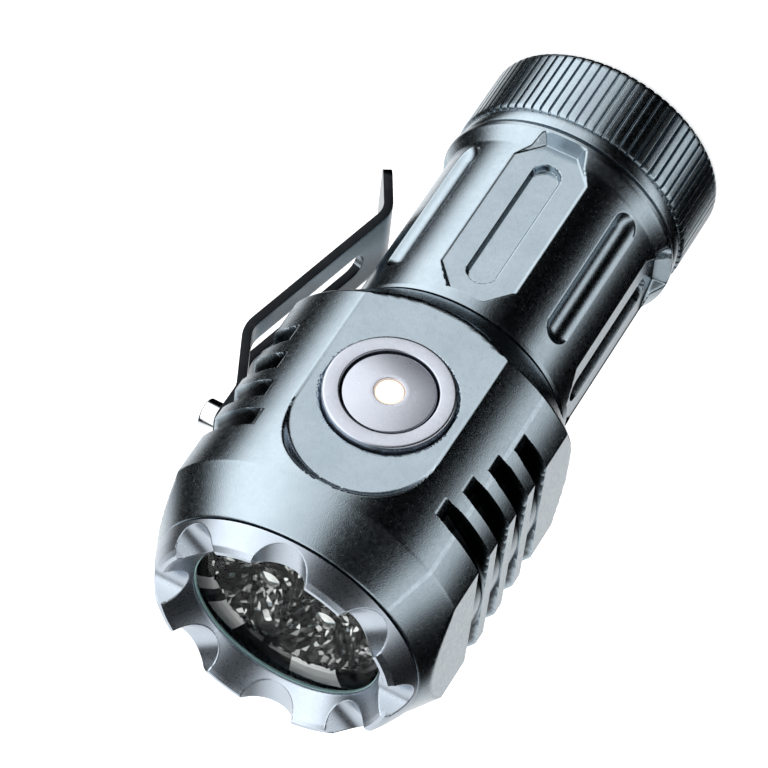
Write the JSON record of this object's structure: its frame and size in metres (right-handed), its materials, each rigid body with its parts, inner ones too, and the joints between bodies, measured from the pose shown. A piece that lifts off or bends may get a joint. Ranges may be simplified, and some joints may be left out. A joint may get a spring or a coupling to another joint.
{
  "type": "keychain flashlight",
  "caption": "Short single-cell flashlight with a finned head, side button, crenellated bezel, ribbed screw tail cap and sprung pocket clip.",
  "frame": {"origin": "centre of the flat tail face, where the light stands on its tail", "axes": "+Z along the beam from the tail to the bezel; -Y out of the side button; +X towards the clip"},
  "size_m": [0.0323, 0.032, 0.0661],
  "materials": {
    "anodised_shell": "bead-blasted grey-blue anodised aluminium",
    "bezel_metal": "satin stainless steel",
    "spring_steel": "dark satin spring steel",
    "bright_steel": "polished steel",
    "contact_metal": "gold-plated contacts",
    "circuit_board": "green solder mask",
    "white_board": "white solder mask",
    "rubber": "matt black rubber",
    "lens_glass": "clear coated glass",
    "optic_plastic": "clear moulded optic",
    "emitter": "phosphor under a clear dome",
    "indicator": "lit milky lens",
    "cell_wrap": "blue shrink sleeve",
    "red_wire": "silicone insulation",
    "black_wire": "silicone insulation"
  },
  "bodies": {
    "tail": {"tail_cap": "anodised_shell", "tail_spring": "contact_metal", "tail_contact_board": "circuit_board"},
    "cell": {"cell_can": "cell_wrap", "cell_positive_button": "bright_steel"},
    "tube_seal": {"tail_oring": "rubber"},
    "light_body": {"body_tube": "anodised_shell", "head_housing": "anodised_shell", "head_oring": "rubber", "driver_retaining_ring": "contact_metal", "driver_board": "circuit_board", "head_contact_spring": "contact_metal", "switch_board": "circuit_board", "tactile_switch": "rubber", "switch_boot": "rubber", "button_ring": "bezel_metal", "led_board": "white_board", "led_1": "emitter", "led_2": "emitter", "led_3": "emitter", "led_4": "emitter", "led_gasket": "white_board", "quad_optic": "optic_plastic", "lens_oring": "rubber", "glass_lens": "lens_glass", "lead_positive": "red_wire", "lead_negative": "black_wire", "bezel_ring": "bezel_metal", "clip_base": "spring_steel", "clip_screw": "bright_steel"},
    "button": {"button_cap": "bezel_metal", "indicator_lens": "indicator"},
    "clip": {"clip_arm": "spring_steel"}
  },
  "joints": [
    {"name": "unscrew_rise", "type": "slide", "parent": "tail", "child": "cell", "axis": [0, 0, 1], "range_m": [0, 0.0048]},
    {"name": "lift_off", "type": "slide", "parent": "cell", "child": "tube_seal", "axis": [0, 0, 1], "range_m": [0, 0.045]},
    {"name": "unscrew_turn", "type": "hinge", "parent": "tube_seal", "child": "light_body", "pos_m": [0, 0, 0], "axis": [0, 0, 1], "range_deg": [0, 1350]},
    {"name": "button_press", "type": "slide", "parent": "light_body", "child": "button", "axis": [0, 1, 0], "range_m": [0, 0.0005], "stiffness_N_per_m": 500},
    {"name": "clip_flex", "type": "hinge", "parent": "light_body", "child": "clip", "pos_m": [0.0149, 0, 0.0455], "axis": [0, -1, 0], "range_deg": [0, 5], "stiffness_Nm_per_rad": 6}
  ],
  "couplings": [
    {"joint": "unscrew_rise", "follows": "unscrew_turn", "m_per_rad": 0.00019894}
  ]
}
